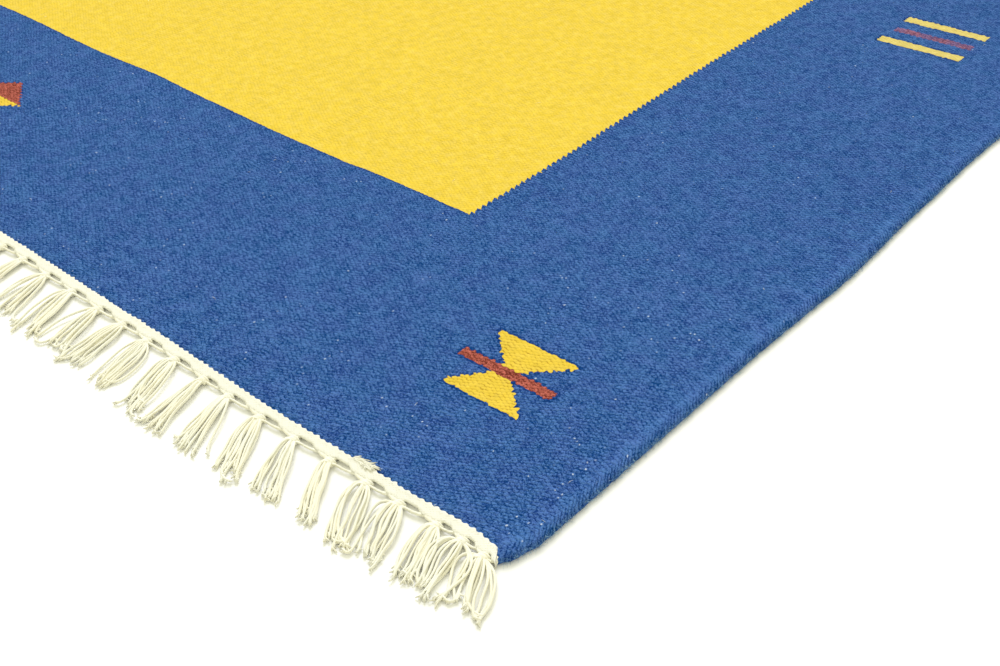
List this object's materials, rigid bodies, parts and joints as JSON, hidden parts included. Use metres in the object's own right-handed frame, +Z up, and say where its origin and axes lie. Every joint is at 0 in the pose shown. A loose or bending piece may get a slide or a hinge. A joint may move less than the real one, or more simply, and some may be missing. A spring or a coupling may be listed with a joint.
{
  "type": "kilim rug",
  "caption": "Flat-woven wool kilim rug with rolled selvedges, a blue border around a plain yellow field, small geometric motifs, and a narrow cotton band with a knotted fringe at each end.",
  "frame": {"origin": "on the floor under the middle of the rug", "axes": "+X across the rug's width, +Y along its length and its warps, +Z up"},
  "size_m": [1.7108, 2.5376, 0.0052],
  "materials": {
    "wool": "matt, weft-faced plain weave, slightly felted",
    "cotton": "matt, undyed plied yarn"
  },
  "bodies": {
    "root": {"rug_cloth": "wool", "end_band_near": "cotton", "end_band_far": "cotton"}
  },
  "joints": []
}
